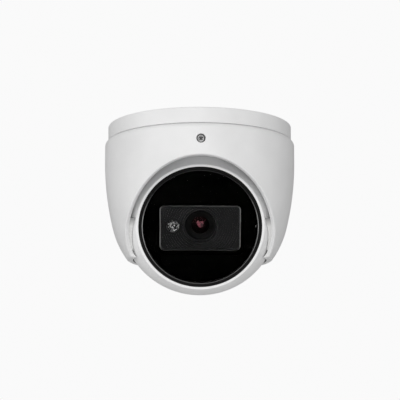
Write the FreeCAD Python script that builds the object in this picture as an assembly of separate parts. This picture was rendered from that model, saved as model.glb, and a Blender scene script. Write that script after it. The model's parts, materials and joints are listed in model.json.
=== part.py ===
"""Ceiling-mounted turret (eyeball) security camera.

The origin is the centre of the ceiling face of the base, with +Z up into the ceiling and -Y towards the
room in front of the camera.  The base is fixed, the turret pans about Z, and the ball tilts about X and turns
about its own optical axis.  Parts of the ball are drawn in the ball's own frame, whose +Z is the optical axis
and whose origin is the ball's centre, and are then put in place at the resting tilt.
"""
import FreeCAD, Part
import math
import os
from FreeCAD import Placement, Rotation, Vector

os.makedirs("parts", exist_ok=True)

# ---- driving dimensions, mm ----
SHELL_R = 55.0            # widest radius of the turret shell
SHELL_WALL = 2.3
SHELL_TOP = -9.2
SHELL_BOTTOM = -78.2
SHELL_STRAIGHT_END = -20.0
SHELL_WAIST = -59.6       # height where the gentle side curve turns into the bowl
SIDE_CURVE_R = 165.7
BOWL_CURVE_R = 51.2
TOP_SHOULDER = 2.6        # depth of the rounded shoulder from the base's radius out to the shell's
MOUTH_TILT = 38.7         # lean of the mouth's flat outline from upright, degrees
MOUTH_POINT = Vector(0, -54.8, -27.2)
MOUTH_CENTRE = Vector(0, 0, -36.0)     # the mouth's cut edge runs towards this point, square to the wall
MOUTH_ROUND = 0.8

BASE_R = 53.2
BASE_DEPTH = 8.9
BASE_PLATE = 4.2
SKIRT_R = 51.9
SKIRT_INNER_R = 49.0
SKIRT_BOTTOM = -21.0
NECK_R = 50.4             # groove that the retaining ring runs in
NECK_TOP = -12.3
NECK_BOTTOM = -14.9
CABLE_HOLE_R = 15.0
CEILING_PCD = 78.0
CEILING_HOLE_R = 2.25
GASKET_IN = 42.5
GASKET_OUT = 50.5
GASKET_T = 1.2

BALL_Z = -52.2
BALL_R = 45.6
BALL_WALL = 2.6
REST_TILT = 22.7          # optical axis below level at rest, degrees
SEAM_T = -2.0             # split between the ball's front and rear shells, along the optical axis
BALL_FACE_T = 28.0        # front of the white lip
BALL_BACK_T = -38.0
BALL_SEAT_GAP = 0.4       # drawn clearance of the ball in its upper seat
SEAT_CLEAR = 0.4          # and in its lower seat, a collar between the ball and the shell
SEAT_TOP = -58.0
SEAT_LOW = -74.0
SEAT_SETBACK = 2.0        # how far behind the mouth's plane the lower seat ends

GLASS_R = 32.9
GLASS_FRONT_T = 28.1
GLASS_T = 2.3
GLASS_BORE_R = 34.8
GLASS_LEDGE_R = 31.5
GLASS_LEDGE_T = 24.3

PANEL_W = 45.8            # grooved panel around the lens
PANEL_H = 26.2
PANEL_ROUND = 2.8
PANEL_FACE_T = 22.4
PANEL_DROP = -1.6         # panel centre below the optical axis
WINDOW_W = 49.2
WINDOW_H = 29.6
LENS_R = 9.9
LED_X = -15.4
LED_Y = -0.6
LED_R = 3.6
MIC_X = 31.2
MIC_Y = -0.2

LOCK_Z = -18.1            # height of the front locking screw
CLAMP_Z = -30.0           # height of the side screws
CLAMP_TOP = -21.3         # ring over the ball
CLAMP_LOW = -23.4
LOCK_SEAT = 53.4          # how far out the heads' undersides bear on the shell
CLAMP_SEAT = 53.1
SCREW_HEAD_R = 2.4
SCREW_HEAD_H = 0.9
SCREW_RECESS_R = 2.6
M3 = 1.5
M2 = 1.0

BALL_SCREW_R = 33.0       # circle of the four long screws that close the ball
BOSS_R = 3.7
SCREW_SEAT_T = -14.0
LEDGE_BACK_T = 21.8       # back of the glass ledge, which the inner bracket is screwed to
BRACKET_SCREW_R = 33.8
BRACKET_T = 1.6
MASK_FRONT_T = 25.6
BARREL_R = 8.7
SENSOR_BOARD_T = 3.2      # front face of the image sensor's board
MAIN_BOARD_T = -12.4      # front face of the main board
BOARD = 1.6
SENSOR_POST_X = 13.5
SENSOR_POST_Y = 9.5
MAIN_POST = 20.5
POST_R = 1.9
FLEX_W = 10.0
FLEX_T = 0.3

ORIGIN = Vector(0, 0, 0)
UP = Vector(0, 0, 1)


# ---- drawing helpers ----
def round_to(centre, here, end):
    """Middle and end points of the short arc about centre that runs from here to end."""
    reach = math.dist(centre, here)
    mx = (here[0] + end[0]) / 2 - centre[0]
    my = (here[1] + end[1]) / 2 - centre[1]
    size = math.hypot(mx, my)
    return (centre[0] + mx / size * reach, centre[1] + my / size * reach), end


def turned(start, *steps):
    """Solid turned about Z from an outline of (r, z) points; a step is a point or a (middle, end) arc."""
    edges = []
    here = start
    for step in steps + (start,):
        arc = isinstance(step[0], tuple)
        end = step[1] if arc else step
        if math.dist(here, end) < 1e-7:
            continue
        a = Vector(here[0], 0, here[1])
        b = Vector(end[0], 0, end[1])
        if arc:
            edges.append(Part.Arc(a, Vector(step[0][0], 0, step[0][1]), b).toShape())
        else:
            edges.append(Part.makeLine(a, b))
        here = end
    return Part.Face(Part.Wire(edges)).revolve(ORIGIN, UP, 360)


def disc(radius, low, high, x=0.0, y=0.0):
    return Part.makeCylinder(radius, high - low, Vector(x, y, low))


def tube(outer, inner, low, high, x=0.0, y=0.0):
    return disc(outer, low, high, x, y).cut(disc(inner, low - 1, high + 1, x, y))


def block(width, height, low, high, x=0.0, y=0.0, corner=0.0):
    """Box centred on (x, y) from low to high, with its upright edges rounded."""
    solid = Part.makeBox(width, height, high - low, Vector(x - width / 2, y - height / 2, low))
    if corner:
        upright = [e for e in solid.Edges if abs(e.BoundBox.ZLength - (high - low)) < 1e-6]
        solid = solid.makeFillet(corner, upright)
    return solid


def sphere(radius):
    return Part.makeSphere(radius)


def sphere_r(radius, height):
    """Radius of the circle that a sphere about the origin has at a height."""
    return math.sqrt(radius * radius - height * height)


def joined(solids):
    return solids[0].multiFuse(solids[1:]).removeSplitter()


def drilled(solid, tools):
    return solid.cut(Part.makeCompound(tools))


def around(solid, count, first=0.0):
    """Copies of a solid spread evenly about Z."""
    copies = []
    for i in range(count):
        copy = solid.copy()
        copy.rotate(ORIGIN, UP, first + i * 360.0 / count)
        copies.append(copy)
    return copies


def four(solid, x, y):
    """Copies of a solid at the four corners (+-x, +-y)."""
    copies = []
    for sx in (-1, 1):
        for sy in (-1, 1):
            copies.append(solid.translated(Vector(sx * x, sy * y, 0)))
    return copies


def radial(solid, azimuth, height):
    """Turn a solid drawn along +Z to point outwards at an azimuth and height."""
    turned_out = solid.copy()
    turned_out.rotate(ORIGIN, Vector(0, 1, 0), 90)
    turned_out.rotate(ORIGIN, UP, azimuth)
    turned_out.translate(Vector(0, 0, height))
    return turned_out


def in_ball(solid):
    """Put a solid drawn in the ball's frame in its place at the resting tilt."""
    placed = solid.copy()
    home = Placement(Vector(0, 0, BALL_Z), Rotation(Vector(1, 0, 0), 90 + REST_TILT))
    placed.Placement = home.multiply(solid.Placement)
    return placed


def screw(head_r, head_h, shank_r, length):
    """Pan-head screw along Z: underside of the head at z 0, shank below, cross recess in the head."""
    body = turned((0, -length), (shank_r * 0.55, -length), (shank_r, -length + shank_r * 0.6), (shank_r, 0),
                  (head_r, 0), (head_r, head_h * 0.55),
                  ((head_r * 0.86, head_h * 0.88), (head_r * 0.55, head_h)), (0, head_h))
    arm = head_r * 1.15
    slot = head_r * 0.24
    depth = head_h * 0.65
    floor = head_h - depth
    cross = joined([block(arm, slot, floor, head_h + 1), block(slot, arm, floor, head_h + 1)])
    return body.cut(cross)


def save(name, shape):
    if not shape.isValid():
        raise ValueError(name + " is not a valid shape")
    shape.exportStep("parts/" + name + ".step")


# ---- base, fixed to the ceiling ----
def base_plate():
    neck_edge = 0.6
    groove_half = 2.1
    groove_depth = 1.6
    plate = turned((CABLE_HOLE_R, 0), (GASKET_IN, 0), (GASKET_IN, -GASKET_T), (GASKET_OUT, -GASKET_T),
                   (GASKET_OUT, 0), (BASE_R - neck_edge, 0),
                   round_to((BASE_R - neck_edge, -neck_edge), (BASE_R - neck_edge, 0), (BASE_R, -neck_edge)),
                   (BASE_R, -BASE_DEPTH + 0.3), (BASE_R - 0.3, -BASE_DEPTH), (SKIRT_R, -BASE_DEPTH),
                   (SKIRT_R, NECK_TOP), (NECK_R, NECK_TOP), (NECK_R, NECK_BOTTOM), (SKIRT_R, NECK_BOTTOM),
                   (SKIRT_R, LOCK_Z + groove_half), (SKIRT_R - groove_depth, LOCK_Z + groove_half),
                   (SKIRT_R - groove_depth, LOCK_Z - groove_half), (SKIRT_R, LOCK_Z - groove_half),
                   (SKIRT_R, SKIRT_BOTTOM + 0.5), (SKIRT_R - 0.5, SKIRT_BOTTOM),
                   (SKIRT_INNER_R, SKIRT_BOTTOM), (SKIRT_INNER_R, -BASE_PLATE), (CABLE_HOLE_R, -BASE_PLATE))
    rib_in = 20.0
    rib_out = SKIRT_INNER_R + 0.5
    rib = block(rib_out - rib_in, 1.8, -BASE_PLATE - 2.0, -BASE_PLATE + 0.5, (rib_out + rib_in) / 2)
    collar = tube(CABLE_HOLE_R + 5, CABLE_HOLE_R, -BASE_PLATE - 0.6, -BASE_PLATE + 0.5)
    boss = disc(5.0, -BASE_PLATE - 1.0, -BASE_PLATE + 0.5, CEILING_PCD / 2)
    plate = joined([plate, collar] + around(rib, 6, 0) + around(boss, 3, 90))
    hole = disc(CEILING_HOLE_R, -BASE_PLATE - 5, 1, CEILING_PCD / 2)
    return drilled(plate, around(hole, 3, 90))


def mount_gasket():
    return tube(GASKET_OUT, GASKET_IN, -GASKET_T, 0)


# ---- turret, pans on the base ----
def shell_curve(inset, low, high):
    """Side outline of the shell, moved inwards by inset: points and arcs from the height low up to high."""
    side = (SHELL_R - SIDE_CURVE_R, SHELL_STRAIGHT_END)
    drop = SHELL_STRAIGHT_END - SHELL_WAIST
    waist_r = side[0] + math.sqrt(SIDE_CURVE_R ** 2 - drop ** 2)
    pull = BOWL_CURVE_R / SIDE_CURVE_R
    bowl = (waist_r + (side[0] - waist_r) * pull, SHELL_WAIST + drop * pull)
    bowl_r = BOWL_CURVE_R - inset
    side_r = SIDE_CURVE_R - inset
    start = (bowl[0] + math.sqrt(bowl_r ** 2 - (low - bowl[1]) ** 2), low)
    turn = (side[0] + (waist_r - side[0]) / SIDE_CURVE_R * side_r, side[1] - drop / SIDE_CURVE_R * side_r)
    straight = (SHELL_R - inset, SHELL_STRAIGHT_END)
    return start, (round_to(bowl, start, turn), round_to(side, turn, straight), (SHELL_R - inset, high))


def mouth_space(inset=0.0):
    """Everything in front of the mouth's plane, or of a plane that far behind it."""
    size = 260.0
    front = Part.makeBox(size, size, size, Vector(-size / 2, -size / 2, -inset))
    front.Placement = Placement(MOUTH_POINT, Rotation(Vector(1, 0, 0), 90 + MOUTH_TILT))
    return front


def mouth_cone(solid):
    """Cone from the outline that the mouth's plane cuts on a solid towards the mouth's centre."""
    out = mouth_space().Placement.Rotation.multVec(UP)
    outline = solid.slice(out, MOUTH_POINT.dot(out))[0]
    rings = []
    for size in (0.9, 1.001):
        ring = outline.copy()
        ring.scale(size, MOUTH_CENTRE)
        rings.append(ring)
    return Part.makeLoft(rings, True, True)


def edges_on(shape, point, normal):
    """Edges of a shape that lie in the plane through a point."""
    found = []
    for edge in shape.Edges:
        first, last = edge.ParameterRange
        samples = [edge.valueAt(u) for u in (first, (first + last) / 2, last)]
        if max(abs((p - point).dot(normal)) for p in samples) < 1e-4:
            found.append(edge)
    return found


def outer_shell():
    foot_edge = 0.6
    foot = shell_curve(0.0, SHELL_BOTTOM, SHELL_TOP)[0][0] - foot_edge
    outer_low, outer_up = shell_curve(0.0, SHELL_BOTTOM + foot_edge, SHELL_TOP - TOP_SHOULDER)
    inner_low, inner_up = shell_curve(SHELL_WALL, SHELL_BOTTOM, SHELL_TOP)
    shoulder_in = SHELL_R - BASE_R - 0.1
    shoulder_r = (TOP_SHOULDER ** 2 + shoulder_in ** 2) / (2 * shoulder_in)
    shoulder = round_to((SHELL_R - shoulder_r, SHELL_TOP - TOP_SHOULDER), (SHELL_R, SHELL_TOP - TOP_SHOULDER),
                        (BASE_R + 0.1, SHELL_TOP))
    solid = turned((foot, SHELL_BOTTOM), outer_low, *outer_up, shoulder, (0, SHELL_TOP), (0, SHELL_BOTTOM))
    hollow = turned(inner_low, *inner_up, (SHELL_R - SHELL_WALL, 1), (0, 1), (0, SHELL_BOTTOM - 1),
                    (inner_low[0], SHELL_BOTTOM - 1))
    shell = solid.cut(mouth_space()).cut(mouth_cone(solid)).cut(hollow)
    mouth_out = mouth_space().Placement.Rotation.multVec(UP)
    shell = shell.makeFillet(MOUTH_ROUND, edges_on(shell, MOUTH_POINT, mouth_out))
    tools = [tube(SHELL_R - SHELL_WALL + 0.7, 40, -14.5, -12.8)]
    screws = ((-90, LOCK_Z, LOCK_SEAT), (0, CLAMP_Z, CLAMP_SEAT), (180, CLAMP_Z, CLAMP_SEAT))
    for azimuth, height, floor in screws:
        tools.append(radial(disc(SCREW_RECESS_R, floor, 60), azimuth, height))
        tools.append(radial(disc(M3, 45, 60), azimuth, height))
    return drilled(shell, tools)


def shell_screw(length):
    """Low-headed screw with a deep cone in its recess, sunk below the shell's surface."""
    socket = turned((0, -0.4), (0.4, -0.2), (1.3, SCREW_HEAD_H + 0.1), (0, SCREW_HEAD_H + 0.1))
    return screw(SCREW_HEAD_R, SCREW_HEAD_H, M3, length).cut(socket)


def front_lock_screw():
    return radial(shell_screw(2.4).translated(Vector(0, 0, LOCK_SEAT)), -90, LOCK_Z)


def side_screws():
    one = shell_screw(7.0).translated(Vector(0, 0, CLAMP_SEAT))
    return Part.makeCompound([radial(one, 0, CLAMP_Z), radial(one, 180, CLAMP_Z)])


def pan_retaining_ring():
    ring = tube(SHELL_R - SHELL_WALL + 0.6, NECK_R + 0.4, -14.4, -12.9)
    return ring.cut(block(6, 12, -16, -11, 0, 52))


def ball_space(extra):
    """Sphere about the ball's centre, larger than the ball by extra."""
    return sphere(BALL_R + extra).translated(Vector(0, 0, BALL_Z))


def cable_gap(low, high):
    """Gap at the back of the upper seat that the tail cable rises through."""
    return block(14, 22, low - 1, high + 1, 0, 47, 1.5)


def ball_clamp_ring():
    ring = tube(SHELL_R - SHELL_WALL - 0.6, 30, CLAMP_LOW, CLAMP_TOP)
    lug = block(6.8, 9.0, CLAMP_Z - 3.5, CLAMP_TOP, 47.9)
    ring = joined([ring] + around(lug, 2))
    ring = ring.cut(ball_space(BALL_SEAT_GAP + 0.9))
    holes = [radial(disc(M3, 43, 60), 0, CLAMP_Z), radial(disc(M3, 43, 60), 180, CLAMP_Z)]
    return drilled(ring, holes + [cable_gap(CLAMP_LOW, CLAMP_TOP)])


def upper_friction_ring():
    low = CLAMP_LOW + 0.2
    high = CLAMP_TOP - 0.2
    ring = disc(45, low, high).common(ball_space(BALL_SEAT_GAP + 0.9))
    return ring.cut(ball_space(BALL_SEAT_GAP)).cut(cable_gap(low, high))


def lower_seat_ring():
    low, up = shell_curve(SHELL_WALL, SEAT_LOW, CLAMP_Z)
    inside = turned(low, *up, (0, CLAMP_Z), (0, low[1]))
    ring = inside.common(disc(60, low[1], SEAT_TOP)).cut(ball_space(SEAT_CLEAR))
    return ring.cut(mouth_space(SEAT_SETBACK))


# ---- cable swivel at the back of the ball ----
def cable_gland():
    stem_r = 8.0
    bore_r = 5.2
    return turned((bore_r, -44.2), (6.2, -44.2), (7.4, -43.0), (7.4, -41.0), (12.0, -41.0), (12.0, -38.3),
                  (stem_r, -38.3), (stem_r, -31.0), (bore_r, -31.0))


def gland_nut():
    nut = Part.makePolygon([Vector(11.5 * math.cos(a), 11.5 * math.sin(a), -35.1)
                            for a in [math.radians(60 * i) for i in range(7)]])
    return Part.Face(nut).extrude(Vector(0, 0, 3.2)).cut(disc(8.0, -40, -30))


def gland_grommet():
    return turned((3.3, -43.6), (5.2, -43.6), (5.2, -33.0), (4.2, -33.0), (3.3, -36.0))


# ---- ball ----
def ball_front_shell():
    inner = BALL_R - BALL_WALL
    edge = 36.8
    edge_t = sphere_r(BALL_R, edge)
    face_r = 36.0
    seam = (sphere_r(BALL_R, SEAM_T), SEAM_T)
    seam_in = (sphere_r(inner, SEAM_T), SEAM_T)
    back = (sphere_r(inner, LEDGE_BACK_T), LEDGE_BACK_T)
    shell = turned(seam, round_to((0, 0), seam, (edge, edge_t)),
                   ((edge - 0.32, BALL_FACE_T - 0.5), (face_r, BALL_FACE_T)),
                   (GLASS_BORE_R + 0.1, BALL_FACE_T), (GLASS_BORE_R, BALL_FACE_T - 0.1),
                   (GLASS_BORE_R, GLASS_LEDGE_T),
                   (GLASS_LEDGE_R, GLASS_LEDGE_T), (GLASS_LEDGE_R, LEDGE_BACK_T),
                   back, round_to((0, 0), back, seam_in))
    post = disc(BOSS_R, SEAM_T, 14, BALL_SCREW_R)
    web = block(9, 3, 3.6, 14, BALL_SCREW_R + 5.5).common(sphere(inner + 0.8))
    shell = joined([shell] + around(post, 4, 0) + around(web, 4, 0))
    holes = around(disc(M3, SEAM_T - 1, 9, BALL_SCREW_R), 4, 0)
    holes += around(disc(M2, 20, 23.6, BRACKET_SCREW_R), 4, 45)
    return drilled(shell, holes)


def ball_rear_shell():
    inner = BALL_R - BALL_WALL
    back_r = sphere_r(BALL_R, BALL_BACK_T)
    wall_t = BALL_BACK_T + BALL_WALL
    seam = (sphere_r(BALL_R, SEAM_T), SEAM_T)
    lip_out = sphere_r(inner, 3.0) - 0.2
    lip_in = lip_out - 1.8
    groove = lip_out - 1.15
    wall_in = (sphere_r(inner, -6.0), -6.0)
    back_in = (sphere_r(inner, wall_t), wall_t)
    shell = turned(seam, round_to((0, 0), seam, (back_r, BALL_BACK_T)), (8.06, BALL_BACK_T), (8.06, wall_t),
                   back_in, round_to((0, 0), back_in, wall_in), (lip_in, -4.0), (lip_in, 3.0), (lip_out, 3.0),
                   (lip_out, 1.7), (groove, 1.7), (groove, 0.3), (lip_out, 0.3), (lip_out, SEAM_T))
    post = disc(BOSS_R, -34, SEAM_T, BALL_SCREW_R).common(sphere(BALL_R - 0.4))
    shell = joined([shell] + around(post, 4, 0))
    holes = around(disc(M3 + 0.1, -20, SEAM_T + 1, BALL_SCREW_R), 4, 0)
    holes += around(disc(2.95, -50, SCREW_SEAT_T, BALL_SCREW_R), 4, 0)
    return drilled(shell, holes)


def ball_seal():
    return Part.makeTorus(sphere_r(BALL_R - BALL_WALL, 1.0) - 0.72, 0.68, Vector(0, 0, 1.0))


def ball_screws():
    one = screw(SCREW_HEAD_R, 2.0, M3, 21.0)
    one.rotate(ORIGIN, Vector(1, 0, 0), 180)
    return Part.makeCompound(around(one.translated(Vector(BALL_SCREW_R, 0, SCREW_SEAT_T)), 4, 0))


def front_glass():
    back = GLASS_FRONT_T - GLASS_T
    chamfer = 0.45
    return turned((0, back), (GLASS_R, back), (GLASS_R, GLASS_FRONT_T - chamfer),
                  (GLASS_R - chamfer, GLASS_FRONT_T), (0, GLASS_FRONT_T))


def glass_gasket():
    back = GLASS_FRONT_T - GLASS_T
    inner = GLASS_R + 0.05
    under = GLASS_R - 0.7
    return turned((inner, back), (inner, GLASS_FRONT_T - 0.7), (inner + 0.45, GLASS_FRONT_T - 0.4),
                  (GLASS_BORE_R - 0.4, GLASS_FRONT_T - 0.4), (GLASS_BORE_R, GLASS_FRONT_T - 0.8),
                  (GLASS_BORE_R, GLASS_LEDGE_T), (under, GLASS_LEDGE_T), (under, back))


# ---- what sits behind the glass ----
def mask_plate():
    plate = disc(32.1, GLASS_LEDGE_T, MASK_FRONT_T)
    well = block(WINDOW_W + 2.4, WINDOW_H + 2.4, PANEL_FACE_T - 3.4, GLASS_LEDGE_T + 0.4, 0, PANEL_DROP, 4.6)
    plate = joined([plate, well])
    opening = block(WINDOW_W, WINDOW_H, PANEL_FACE_T, MASK_FRONT_T + 1, 0, PANEL_DROP, 3.6)
    seat = block(PANEL_W + 0.1, PANEL_H + 0.1, PANEL_FACE_T - 5, PANEL_FACE_T + 1, 0, PANEL_DROP, PANEL_ROUND)
    return drilled(plate, [opening, seat, disc(0.85, 20, 30, MIC_X, MIC_Y)])


def lens_panel():
    """Panel with a raised rim, fine rings about the lens, and holes for the lens and the infrared lamp."""
    rim = 0.9
    rise = 0.9
    pitch = 1.3
    inner_w = PANEL_W - 2 * rim
    inner_h = PANEL_H - 2 * rim
    panel = block(PANEL_W, PANEL_H, PANEL_FACE_T - 2.6, PANEL_FACE_T + rise, 0, PANEL_DROP, PANEL_ROUND)
    crest = edges_on(panel, Vector(0, 0, PANEL_FACE_T + rise), UP)
    panel = panel.makeFillet(rim * 0.75, crest)
    sunk = block(inner_w, inner_h, PANEL_FACE_T, PANEL_FACE_T + 5, 0, PANEL_DROP, PANEL_ROUND - rim)
    panel = panel.cut(sunk)
    field = block(inner_w - 1.2, inner_h - 1.2, PANEL_FACE_T - 0.3, PANEL_FACE_T + 1, 0, PANEL_DROP, 1.4)
    field = field.cut(disc(LED_R + 1.3, PANEL_FACE_T - 2, PANEL_FACE_T + 2, LED_X, LED_Y))
    grooves = []
    radius = LENS_R + 1.4
    while radius < inner_w / 2:
        grooves.append(tube(radius + pitch * 0.45, radius, PANEL_FACE_T - 0.25, PANEL_FACE_T + 1))
        radius += pitch
    panel = panel.cut(Part.makeCompound(grooves).common(field))
    return drilled(panel, [disc(LENS_R + 0.15, 10, 30), disc(LED_R + 0.1, 10, 30, LED_X, LED_Y)])


def lens_barrel():
    """Barrel with a flared black throat in front of the first glass and a step for each glass."""
    return turned((5.1, 21.6), (5.1, 22.0), (7.9, 23.2), (BARREL_R - 0.3, 23.2), (BARREL_R, 22.9),
                  (BARREL_R, 15.0), (7.2, 13.2), (7.2, 6.2), (5.4, 6.2), (5.4, 8.4), (6.0, 8.4), (6.0, 12.6),
                  (6.3, 12.6), (6.3, 15.8), (5.8, 15.8), (5.8, 17.5), (6.9, 17.5), (6.9, 21.6))


def lens_front_ring():
    return turned((BARREL_R, 17.0), (LENS_R, 17.0), (LENS_R, 22.0), (LENS_R - 0.2, 22.2), (BARREL_R, 22.2))


def cap(radius, rim, bulge):
    """Arc of a shallow dome from its rim at (radius, rim) to its top on the axis, bulge away."""
    top = (0, rim + bulge)
    reach = (radius ** 2 + bulge ** 2) / (2 * bulge)
    return round_to((0, top[1] - reach), (radius, rim), top)


def lens_glass(front, back, radius, bulge_front, bulge_back):
    """Round glass whose faces are shallow domes that rise from the rim by the bulges."""
    upper = turned((0, (front + back) / 2), (radius, (front + back) / 2), (radius, front),
                   cap(radius, front, bulge_front))
    lower = turned((0, (front + back) / 2), (radius, (front + back) / 2), (radius, back),
                   cap(radius, back, -bulge_back))
    return joined([upper, lower])


def lens_front_element():
    return lens_glass(19.2, 18.4, 6.85, 1.4, 0.6)


def lens_middle_element():
    return lens_glass(14.9, 13.9, 6.25, 0.6, 0.6)


def lens_rear_element():
    return lens_glass(11.4, 9.9, 5.95, 0.7, 0.7)


def lens_holder():
    body = joined([block(20, 20, SENSOR_BOARD_T, 6.2, 0, 0, 1.5), disc(9.4, 6.0, 12.6)])
    return drilled(body, [disc(7.2, 6.2, 20), disc(4.6, 4, 7), block(9.2, 9.2, 4, 5.6),
                          block(12.5, 10.5, SENSOR_BOARD_T - 1, 4.9)])


def ir_cut_filter():
    return block(9, 9, 5.0, 5.5)


def image_sensor():
    package = block(11.4, 9.4, SENSOR_BOARD_T, SENSOR_BOARD_T + 1.3, 0, 0, 0.3)
    return package.cut(block(8, 6, SENSOR_BOARD_T + 1.0, SENSOR_BOARD_T + 2))


def sensor_board():
    board = block(34, 32, SENSOR_BOARD_T - BOARD, SENSOR_BOARD_T, 0, 0, 2)
    return drilled(board, four(disc(M2, -2, 6), SENSOR_POST_X, SENSOR_POST_Y))


def sensor_standoffs():
    post = tube(POST_R, M2, SENSOR_BOARD_T, PANEL_FACE_T - 2.6)
    return Part.makeCompound(four(post, SENSOR_POST_X, SENSOR_POST_Y))


def small_screw(seat, length):
    """Small screw whose head bears forwards on a face at seat."""
    one = screw(1.8, 1.1, M2, length)
    one.rotate(ORIGIN, Vector(1, 0, 0), 180)
    return one.translated(Vector(0, 0, seat))


def sensor_board_screws():
    one = small_screw(SENSOR_BOARD_T - BOARD, 5.0)
    return Part.makeCompound(four(one, SENSOR_POST_X, SENSOR_POST_Y))


def led_board():
    return block(11.2, 13.6, 17.0, 18.2, -16.4, LED_Y, 1.0)


def ir_led():
    return joined([block(4.2, 4.2, 18.2, 19.0, LED_X, LED_Y, 0.4), disc(1.6, 18.9, 19.5, LED_X, LED_Y)])


def ir_led_lens():
    """Clear lens that stands over the lamp: a dome inside a rounded ring, with a hollow underneath."""
    valley = (LED_R * 0.62, 22.0)
    crest = (LED_R * 0.82, 22.6)
    dome = turned((0, 19.1), (LED_R, 19.1), (LED_R, 21.9), (crest, valley), cap(valley[0], valley[1], 1.1))
    return dome.cut(disc(2.3, 19, 20.2)).cut(block(4.4, 4.4, 19, 19.15)).translated(Vector(LED_X, LED_Y, 0))


def microphone():
    can = block(2.0, 3.4, 23.2, 24.2, MIC_X - 1.15, MIC_Y, 0.3)
    return can.cut(disc(0.3, 24.0, 25, MIC_X - 0.55, MIC_Y))


def microphone_board():
    return block(4.2, 6.0, 22.4, 23.2, MIC_X - 2.4, MIC_Y, 0.5)


def inner_bracket():
    """Plate that carries the mask and the boards, with a window for the lens panel."""
    plate = disc(35.6, LEDGE_BACK_T - BRACKET_T, LEDGE_BACK_T)
    window = block(WINDOW_W + 2.8, WINDOW_H + 2.8, 15, 25, 0, PANEL_DROP, 4.8)
    bosses = four(disc(2.7, 18.6, LEDGE_BACK_T - 0.4), MAIN_POST, MAIN_POST)
    plate = joined([plate.cut(window)] + bosses)
    holes = around(disc(M2, 15, 25, BRACKET_SCREW_R), 4, 45)
    return drilled(plate, holes + four(disc(M2, 15, 20.8), MAIN_POST, MAIN_POST))


def bracket_screws():
    one = small_screw(LEDGE_BACK_T - BRACKET_T, BRACKET_T + 1.6).translated(Vector(BRACKET_SCREW_R, 0, 0))
    return Part.makeCompound(around(one, 4, 45))


def board_standoffs():
    return Part.makeCompound(four(tube(POST_R, M2, MAIN_BOARD_T, 18.6), MAIN_POST, MAIN_POST))


def main_board():
    board = block(52, 52, MAIN_BOARD_T - BOARD, MAIN_BOARD_T, 0, 0, 8)
    return drilled(board, four(disc(M2, -20, -10), MAIN_POST, MAIN_POST))


def main_board_screws():
    return Part.makeCompound(four(small_screw(MAIN_BOARD_T - BOARD, 6.0), MAIN_POST, MAIN_POST))


def memory_chips():
    return Part.makeCompound([block(9, 7.5, MAIN_BOARD_T, MAIN_BOARD_T + 1.1, x, 8, 0.2) for x in (-7, 7)])


def capacitors():
    can = disc(2.6, MAIN_BOARD_T, MAIN_BOARD_T + 5.4)
    return Part.makeCompound([can.translated(Vector(x, 19, 0)) for x in (-8, 0, 8)])


def processor():
    return block(14, 14, MAIN_BOARD_T - BOARD - 1.5, MAIN_BOARD_T - BOARD, 0, 0, 0.3)


def thermal_pad():
    return block(15, 15, MAIN_BOARD_T - BOARD - 2.5, MAIN_BOARD_T - BOARD - 1.5)


def heat_sink():
    top = MAIN_BOARD_T - BOARD - 2.5
    fins = []
    for i in range(8):
        fins.append(block(1.2, 30, top - 8.0, top - 1.5, -14.4 + i * 28.8 / 7))
    return joined([block(30, 30, top - 2.0, top)] + fins)


def board_connectors():
    sensor_side = block(FLEX_W + 2, 3.4, 0.2, SENSOR_BOARD_T - BOARD, 0, -10.2)
    main_side = block(FLEX_W + 2, 3.4, MAIN_BOARD_T, MAIN_BOARD_T + 1.4, 0, -14.2)
    tail_side = block(14, 6, MAIN_BOARD_T - BOARD - 5, MAIN_BOARD_T - BOARD, 0, -20.5)
    tail_side = tail_side.cut(block(12.4, 4.4, MAIN_BOARD_T - BOARD - 6, MAIN_BOARD_T - BOARD - 1, 0, -20.5))
    return Part.makeCompound([sensor_side, main_side, tail_side])


def flex_cable():
    """Flat cable that leaves one board outwards, turns once round, and comes back to the other."""
    high = 0.9
    low = MAIN_BOARD_T + 0.7
    bend = (high - low) / 2
    bend_y = -19.0
    centre = Vector(-FLEX_W / 2, bend_y, (high + low) / 2)
    along_x = Vector(1, 0, 0)
    curl = Part.makeCylinder(bend + FLEX_T / 2, FLEX_W, centre, along_x)
    curl = curl.cut(Part.makeCylinder(bend - FLEX_T / 2, FLEX_W, centre, along_x))
    curl = curl.cut(block(40, 30, -30, 30, 0, bend_y + 15))
    runs = []
    for height, end in ((high, -11.9), (low, -15.9)):
        run = block(FLEX_W, end - bend_y, height - FLEX_T / 2, height + FLEX_T / 2, 0, (end + bend_y) / 2)
        runs.append(run)
    return joined([curl] + runs)


FIXED_PARTS = (base_plate, mount_gasket, outer_shell, pan_retaining_ring, front_lock_screw, side_screws,
               ball_clamp_ring, upper_friction_ring, lower_seat_ring)
BALL_PARTS = (cable_gland, gland_nut, gland_grommet, ball_front_shell, ball_rear_shell, ball_seal, ball_screws,
              front_glass, glass_gasket, mask_plate, lens_panel, lens_barrel, lens_front_ring,
              lens_front_element, lens_middle_element, lens_rear_element, lens_holder, ir_cut_filter,
              image_sensor, sensor_board, sensor_standoffs, sensor_board_screws, led_board, ir_led,
              ir_led_lens, microphone, microphone_board, inner_bracket, bracket_screws, board_standoffs,
              main_board, main_board_screws, memory_chips, capacitors, processor, thermal_pad, heat_sink,
              board_connectors, flex_cable)

for make in FIXED_PARTS:
    save(make.__name__, make())
for make in BALL_PARTS:
    save(make.__name__, in_ball(make()))
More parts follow.
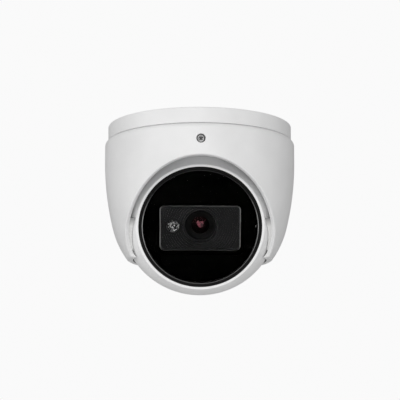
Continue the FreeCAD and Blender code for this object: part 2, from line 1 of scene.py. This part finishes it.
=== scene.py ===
"""Looks for the ceiling turret camera: materials, small surface details, soft studio light and the camera."""
import json
import math
import bpy
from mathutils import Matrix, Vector


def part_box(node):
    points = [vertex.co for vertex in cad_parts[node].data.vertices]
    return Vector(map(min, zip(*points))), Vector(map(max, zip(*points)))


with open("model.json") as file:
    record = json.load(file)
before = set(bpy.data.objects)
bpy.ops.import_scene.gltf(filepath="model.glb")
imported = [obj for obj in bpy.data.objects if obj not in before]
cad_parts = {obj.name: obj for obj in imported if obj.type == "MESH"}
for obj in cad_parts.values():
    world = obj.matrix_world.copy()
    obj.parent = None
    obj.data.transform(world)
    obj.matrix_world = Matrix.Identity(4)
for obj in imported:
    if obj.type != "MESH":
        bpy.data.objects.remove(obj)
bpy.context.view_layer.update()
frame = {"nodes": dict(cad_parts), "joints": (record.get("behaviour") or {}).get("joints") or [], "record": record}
nodes = frame["nodes"]
joints = {joint["name"]: joint for joint in frame["joints"]}
scene = bpy.context.scene

# ---- camera and stage, metres and degrees ----
CAMERA_AWAY = 0.900
CAMERA_HEIGHT = -0.2081
CAMERA_PITCH = 10.42        # looks up from level
CAMERA_TURN = 0.8           # to the left of the object's front
CAMERA_LENS = 142.07        # millimetres
CAMERA_SHIFT = 0.000875
FLOOR_Z = -0.62
FLOOR_HALF = 4.0
LIGHTS_AIM = Vector((0, 0, -0.05))
BACKDROP = 0.955
AMBIENT = 0.38

# ---- places on the object, metres ----
ACROSS = (1, 0, 0)
UP = (0, 0, 1)
OPTICAL_AXIS = joints["roll"]["axis"]
BALL_CENTRE = joints["tilt"]["pos_m"]
BLACK_BORE_R = 0.0335       # the ball's paint is black this near the optical axis
BLACK_BORE_EDGE = 0.0005
BEVEL_PAINTED_SHADE_RISE = 0.0175     # above the middle of the glass, where the bevel's painted shade is deepest
# above the middle of the glass, from where down the bevel carries its full painted highlight
BEVEL_PAINTED_HIGHLIGHT_RISE = 0.0005
RIM_HIGHLIGHT_INNER_INSET = 0.0014    # in from the lens panel's side, where the rim's painted highlight starts to grow
RIM_HIGHLIGHT_OUTER_INSET = 0.0001
SEAT_PAINTED_SHADE_DEPTH = 0.0042   # below the top of the lower seat, where its painted shade starts
# radii of the painted glints on the front lens and on the lamp's dome
LENS_GLINT_R = 0.0021
LAMP_GLINT_R = 0.0030

# ---- surface detail ----
GRAIN_SCALE = 900.0
GRAIN_DEPTH = 0.00004
BLOTCH_SCALE = 45.0
PINK_COATING = (1.0, 0.4, 0.48)


# ---- node helpers ----
def new_material(name):
    material = bpy.data.materials.new(name)
    material.use_nodes = True
    tree = material.node_tree
    return material, tree, tree.nodes["Principled BSDF"]


def add(tree, kind, **settings):
    node = tree.nodes.new(kind)
    for key, value in settings.items():
        if key in node.inputs:
            node.inputs[key].default_value = value
        else:
            setattr(node, key, value)
    return node


def coordinate(tree, kind="Object"):
    return add(tree, "ShaderNodeTexCoord").outputs[kind]


def noise(tree, scale, detail=2.0):
    texture = add(tree, "ShaderNodeTexNoise", Scale=scale, Detail=detail)
    tree.links.new(coordinate(tree), texture.inputs["Vector"])
    return texture.outputs["Fac"]


def ramp(tree, source, low, high, start=0.35, end=0.65):
    """Colour that runs from low to high as the source goes from start to end."""
    node = add(tree, "ShaderNodeValToRGB")
    for stop, place, value in zip(node.color_ramp.elements, (start, end), (low, high)):
        stop.position = place
        stop.color = (*value, 1.0) if isinstance(value, tuple) else (value, value, value, 1.0)
    tree.links.new(source, node.inputs["Fac"])
    return node.outputs["Color"]


def mapped(tree, source, start, end, low, high):
    """Value that runs from low to high as the source goes from start to end."""
    node = add(tree, "ShaderNodeMapRange")
    for name, value in (("From Min", start), ("From Max", end), ("To Min", low), ("To Max", high)):
        node.inputs[name].default_value = value
    tree.links.new(source, node.inputs["Value"])
    return node.outputs["Result"]


def vector_math(tree, operation, source, fixed=(0, 0, 0)):
    """Outputs of a vector operation on a source and a fixed vector."""
    node = add(tree, "ShaderNodeVectorMath", operation=operation)
    node.inputs[1].default_value = fixed
    tree.links.new(source, node.inputs[0])
    return node.outputs


def bump(tree, shader, height, strength, distance):
    node = add(tree, "ShaderNodeBump", Strength=strength, Distance=distance)
    tree.links.new(height, node.inputs["Height"])
    tree.links.new(node.outputs["Normal"], shader.inputs["Normal"])


def blend(tree, amount, first, second):
    """Shader that goes from the first to the second as the amount goes from 0 to 1."""
    mix = add(tree, "ShaderNodeMixShader")
    for socket, source in zip(mix.inputs, (amount, first, second)):
        tree.links.new(source, socket)
    return mix.outputs[0]


def lay_over(material, amount, finish):
    """Covers a material with a second finish where the amount is 1."""
    tree = material.node_tree
    mixed = blend(tree, amount, tree.nodes["Principled BSDF"].outputs[0], finish.outputs[0])
    tree.links.new(mixed, tree.nodes["Material Output"].inputs["Surface"])


def shade(tree, shader, amount):
    """Scales a shader's linked colour: an amount of 0 is black, 1 leaves it as it is, more lightens it."""
    scaled = add(tree, "ShaderNodeVectorMath", operation="SCALE")
    tree.links.new(shader.inputs["Base Color"].links[0].from_socket, scaled.inputs[0])
    tree.links.new(amount, scaled.inputs["Scale"])
    tree.links.new(scaled.outputs[0], shader.inputs["Base Color"])


def along(tree, axis, start, end, low, high, both_ways=False):
    """Value that runs from low to high along an axis of the object, between two places on it."""
    place = vector_math(tree, "DOT_PRODUCT", coordinate(tree), axis)["Value"]
    if both_ways:
        size = add(tree, "ShaderNodeMath", operation="ABSOLUTE")
        tree.links.new(place, size.inputs[0])
        place = size.outputs[0]
    return mapped(tree, place, start, end, low, high)


# ---- kinds of finish ----
def surface(name, low, high, rough, metallic=0.0, specular=None, blotch=BLOTCH_SCALE):
    """Solid finish with blotchy colour and roughness at one scale and a fine bump at another."""
    material, tree, shader = new_material(name)
    tree.links.new(ramp(tree, noise(tree, blotch, 3.0), low, high), shader.inputs["Base Color"])
    tree.links.new(ramp(tree, noise(tree, blotch * 2.3, 4.0), *rough), shader.inputs["Roughness"])
    shader.inputs["Metallic"].default_value = metallic
    if specular is not None:
        shader.inputs["Specular IOR Level"].default_value = specular
    bump(tree, shader, noise(tree, GRAIN_SCALE, 3.0), 0.5, GRAIN_DEPTH)
    return material


def clear(name, tint, ior, rough, specular=0.5, sheen=(1.0, 1.0, 1.0)):
    """Glass or clear plastic; sheen tints its reflections the way a coating does."""
    material, tree, shader = new_material(name)
    shader.inputs["Base Color"].default_value = (*tint, 1)
    shader.inputs["Transmission Weight"].default_value = 1.0
    shader.inputs["IOR"].default_value = ior
    shader.inputs["Specular IOR Level"].default_value = specular
    shader.inputs["Specular Tint"].default_value = (*sheen, 1)
    tree.links.new(ramp(tree, noise(tree, 60.0), *rough), shader.inputs["Roughness"])
    return material


def finish_edge(material, steep, flat, shades, rough, painted_light_fade, metallic=0.0):
    """Gives the faces that lean from the optical axis, between two cosines, a finish of their own.

    Its colour is scaled along an axis of the object by the fade settings, which paint shade and highlight on the
    edge.
    """
    tree = material.node_tree
    edge = tree.nodes.new("ShaderNodeBsdfPrincipled")
    tree.links.new(ramp(tree, noise(tree, 300.0), *shades), edge.inputs["Base Color"])
    shade(tree, edge, along(tree, **painted_light_fade))
    edge.inputs["Roughness"].default_value = rough
    edge.inputs["Metallic"].default_value = metallic
    lean = vector_math(tree, "DOT_PRODUCT", coordinate(tree, "Normal"), OPTICAL_AXIS)["Value"]
    band = add(tree, "ShaderNodeValToRGB")
    band.color_ramp.interpolation = "CONSTANT"
    band.color_ramp.elements[0].position = 0.0
    band.color_ramp.elements[0].color = (0, 0, 0, 1)
    band.color_ramp.elements[1].position = steep
    band.color_ramp.elements[1].color = (1, 1, 1, 1)
    band.color_ramp.elements.new(flat).color = (0, 0, 0, 1)
    tree.links.new(lean, band.inputs["Fac"])
    lay_over(material, band.outputs["Color"], edge)


def front_of(node):
    """Foremost point of a node along the optical axis."""
    points = [vertex.co for vertex in nodes[node].data.vertices]
    return max(points, key=lambda point: point.dot(Vector(OPTICAL_AXIS)))


def add_painted_glints(material, centre, radius, low, high, patches, stops):
    """Painted bright glints about a centre, standing in for the reflections that stacked coated glasses or a
    moulded lens show.
    """
    ragged = 1.6
    fades_from = 1.5
    fades_to = 2.0
    tree = material.node_tree
    glint = tree.nodes.new("ShaderNodeBsdfPrincipled")
    tree.links.new(ramp(tree, noise(tree, patches), low, high, *stops), glint.inputs["Base Color"])
    glint.inputs["Metallic"].default_value = 1.0
    glint.inputs["Roughness"].default_value = 0.3
    away = vector_math(tree, "DISTANCE", coordinate(tree), centre)["Value"]
    ripple = add(tree, "ShaderNodeMath", operation="MULTIPLY_ADD")
    ripple.inputs[1].default_value = radius * ragged
    tree.links.new(noise(tree, 520.0), ripple.inputs[0])
    tree.links.new(away, ripple.inputs[2])
    amount = mapped(tree, ripple.outputs[0], radius * fades_to, radius * fades_from, 0.0, 1.0)
    lay_over(material, amount, glint)


# ---- materials with something of their own ----
def make_ball_paint():
    """White paint that is black in the bore of the glass, ahead of the ball's centre."""
    material = surface("ball_paint", 0.90, 0.93, (0.3, 0.4))
    tree = material.node_tree
    offset = vector_math(tree, "SUBTRACT", coordinate(tree), BALL_CENTRE)["Vector"]
    across = vector_math(tree, "CROSS_PRODUCT", offset, OPTICAL_AXIS)["Vector"]
    away = vector_math(tree, "LENGTH", across)["Value"]
    outside = mapped(tree, away, BLACK_BORE_R, BLACK_BORE_R + BLACK_BORE_EDGE, 0.01, 1.0)
    behind = add(tree, "ShaderNodeMath", operation="LESS_THAN")
    behind.inputs[1].default_value = 0.0
    tree.links.new(vector_math(tree, "DOT_PRODUCT", offset, OPTICAL_AXIS)["Value"], behind.inputs[0])
    painted = add(tree, "ShaderNodeMath", operation="MAXIMUM")
    tree.links.new(outside, painted.inputs[0])
    tree.links.new(behind.outputs[0], painted.inputs[1])
    shade(tree, tree.nodes["Principled BSDF"], painted.outputs[0])
    return material


def make_liner():
    """White plastic of the lower seat, with painted shade darkening its top end."""
    material = surface("white_liner", (0.74, 0.74, 0.73), (0.79, 0.79, 0.78), (0.5, 0.65))
    tree = material.node_tree
    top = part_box("lower_seat_ring")[1].z
    # painted shade: the top of the seat is darkened to 0.35 of its colour
    amount = along(tree, UP, top - SEAT_PAINTED_SHADE_DEPTH, top, 1.0, 0.35)
    shade(tree, tree.nodes["Principled BSDF"], amount)
    return material


def make_window():
    """Clear pane whose bevel has painted shade at its top and a painted highlight from the middle of the glass
    down.
    """
    material = clear("front_glass", (0.93, 0.93, 0.93), 1.02, (0.0, 0.004))
    lowest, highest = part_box("front_glass")
    middle = (lowest.z + highest.z) / 2
    # painted shade and highlight: the bevel is darkened to 0.12 at its top and lightened 1.4 times lower down
    painted_light_fade = {"axis": UP, "start": middle + BEVEL_PAINTED_SHADE_RISE, "end": middle + BEVEL_PAINTED_HIGHLIGHT_RISE,
            "low": 0.12, "high": 1.4}
    finish_edge(material, 0.5, 0.9, (0.38, 0.46), 0.14, painted_light_fade, metallic=0.7)
    return material


def make_panel():
    """Satin black with a rim painted lighter grey as a painted highlight, strongest at the panel's two sides."""
    material = surface("panel_black", (0.0045, 0.0045, 0.005), (0.006, 0.006, 0.0065), (0.30, 0.33),
                       specular=0.16)
    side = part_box("lens_panel")[1].x
    # painted highlight: the rim is lightened up to five times towards both sides of the panel
    painted_light_fade = {"axis": ACROSS, "start": side - RIM_HIGHLIGHT_INNER_INSET, "end": side - RIM_HIGHLIGHT_OUTER_INSET,
            "low": 0.9, "high": 5.0, "both_ways": True}
    finish_edge(material, 0.15, 0.97, (0.07, 0.09), 0.3, painted_light_fade)
    return material


def make_front_lens():
    """Dark coated glass with a small painted pinkish reflection at its middle."""
    material = clear("front_coated_lens", (0.10, 0.09, 0.10), 1.14, (0.0, 0.02), sheen=PINK_COATING)
    # painted reflection: pinkish glints laid on the middle of the front lens
    add_painted_glints(material, front_of("lens_front_element"), LENS_GLINT_R, (0.04, 0.025, 0.03), (0.24, 0.07, 0.085),
              patches=700.0, stops=(0.4, 0.6))
    return material


def make_lamp_lens():
    """Dark clear dome with small painted white glints at its middle."""
    material = clear("lamp_clear", (0.2, 0.2, 0.2), 1.6, (0.02, 0.05), specular=1.0)
    # painted highlight: white glints laid on the middle of the lamp's dome
    add_painted_glints(material, front_of("ir_led_lens"), LAMP_GLINT_R, 0.03, 0.95, patches=1000.0, stops=(0.52, 0.6))
    return material


def paint(node, material):
    mesh = nodes[node].data
    mesh.materials.clear()
    mesh.materials.append(material)


def paint_nodes():
    """Gives every node the finish of its material slot, and some nodes one of their own."""
    steel = surface("zinc_steel", (0.50, 0.50, 0.51), 0.62, (0.25, 0.42), metallic=1.0)
    board_black = surface("board_black", 0.006, 0.01, (0.35, 0.5), specular=0.2)
    finishes = {
        "white_paint": surface("white_powder_coat", 0.80, 0.84, (0.36, 0.48)),
        "black_rubber": surface("black_rubber", 0.004, 0.008, (0.55, 0.75), specular=0.12),
        "liner_plastic": make_liner(),
        "screw_steel": steel,
        "can_metal": steel,
        "bare_aluminium": surface("cast_aluminium", (0.60, 0.60, 0.61), (0.72, 0.72, 0.73), (0.4, 0.6),
                                  metallic=1.0),
        "gland_plastic": surface("gland_black", 0.01, 0.02, (0.45, 0.6)),
        "front_glass": make_window(),
        "mask_black": surface("mask_black", 0.0003, 0.0007, (0.6, 0.75), specular=0.008),
        "panel_black": make_panel(),
        "lens_black": surface("lens_black", 0.005, 0.008, (0.3, 0.4), specular=0.2),
        "lens_glass": clear("coated_lens", (0.08, 0.07, 0.08), 1.3, (0.0, 0.02), sheen=PINK_COATING),
        "filter_glass": clear("filter_glass", (0.5, 0.2, 0.25), 1.4, (0.0, 0.03), specular=0.2,
                              sheen=(1.0, 0.3, 0.35)),
        "lamp_clear": make_lamp_lens(),
        "board_green": surface("solder_mask", (0.01, 0.09, 0.03), (0.02, 0.13, 0.05), (0.35, 0.5)),
        "chip_black": surface("chip_black", 0.012, 0.02, (0.5, 0.7)),
        "led_dark": surface("led_dark", (0.008, 0.008, 0.009), (0.014, 0.014, 0.015), (0.2, 0.35)),
        "board_black": board_black,
        "connector_white": surface("connector_cream", (0.72, 0.70, 0.6), (0.78, 0.76, 0.66), (0.35, 0.5)),
        "flex_amber": surface("flex_amber", (0.42, 0.14, 0.01), (0.55, 0.2, 0.02), (0.2, 0.35)),
        "pad_grey": surface("thermal_pad", (0.2, 0.22, 0.25), (0.26, 0.28, 0.31), (0.7, 0.85)),
    }
    ball_paint = make_ball_paint()
    shell_screw = surface("dark_screw_steel", 0.16, 0.26, (0.2, 0.35), metallic=1.0)
    own_finishes = {
        "ball_front_shell": ball_paint,
        "ball_rear_shell": ball_paint,
        "front_lock_screw": shell_screw,
        "side_screws": shell_screw,
        "lens_barrel": surface("throat_black", 0.0015, 0.003, (0.4, 0.5), specular=0.08),
        "microphone": board_black,
        "lens_front_element": make_front_lens(),
    }
    for part in frame["record"]["subparts"]:
        paint(part["node"], own_finishes.get(part["node"], finishes[part["material_slot"]]))


# ---- stage ----
def make_stage():
    mesh = bpy.data.meshes.new("floor")
    corners = [(x * FLOOR_HALF, y * FLOOR_HALF, FLOOR_Z) for x, y in ((-1, -1), (1, -1), (1, 1), (-1, 1))]
    mesh.from_pydata(corners, [], [(0, 1, 2, 3)])
    floor = bpy.data.objects.new("floor", mesh)
    scene.collection.objects.link(floor)
    mesh.materials.append(surface("floor_paint", 0.78, 0.82, (0.8, 0.9), blotch=2.0))
    floor.visible_glossy = False


def make_light(name, place, size, power):
    light = bpy.data.lights.new(name, "AREA")
    light.shape = "RECTANGLE"
    light.size, light.size_y = size
    light.energy = power
    lamp = bpy.data.objects.new(name, light)
    lamp.location = place
    lamp.rotation_euler = (LIGHTS_AIM - Vector(place)).to_track_quat("-Z", "Y").to_euler()
    scene.collection.objects.link(lamp)


def make_world():
    """Pale backdrop for the camera and a dimmer even light for everything else."""
    world = bpy.data.worlds.new("studio")
    world.use_nodes = True
    tree = world.node_tree
    tree.nodes.clear()
    out = add(tree, "ShaderNodeOutputWorld")
    seen = add(tree, "ShaderNodeBackground", Color=(BACKDROP, BACKDROP, BACKDROP, 1), Strength=1.0)
    light = add(tree, "ShaderNodeBackground", Color=(1, 1, 1, 1), Strength=AMBIENT)
    path = add(tree, "ShaderNodeLightPath")
    mixed = blend(tree, path.outputs["Is Camera Ray"], light.outputs[0], seen.outputs[0])
    tree.links.new(mixed, out.inputs[0])
    scene.world = world


def make_camera():
    data = bpy.data.cameras.new("camera")
    data.sensor_width = 36.0
    data.lens = CAMERA_LENS
    data.shift_x = CAMERA_SHIFT
    camera = bpy.data.objects.new("camera", data)
    turn = math.radians(CAMERA_TURN)
    camera.location = (-CAMERA_AWAY * math.sin(turn), -CAMERA_AWAY * math.cos(turn), CAMERA_HEIGHT)
    camera.rotation_euler = (math.radians(90 + CAMERA_PITCH), 0, -turn)
    scene.collection.objects.link(camera)
    scene.camera = camera


make_camera()
make_world()
make_stage()
make_light("key", place=(-0.25, -1.3, 0.45), size=(0.9, 0.7), power=6.2)
make_light("front_low", place=(0.0, -1.3, -0.55), size=(1.3, 0.6), power=6.3)
make_light("left", place=(-1.1, -0.5, 0.1), size=(0.6, 0.9), power=2.0)
make_light("right", place=(1.1, -0.6, -0.1), size=(0.5, 0.9), power=1.0)
scene.view_settings.view_transform = "Standard"
paint_nodes()
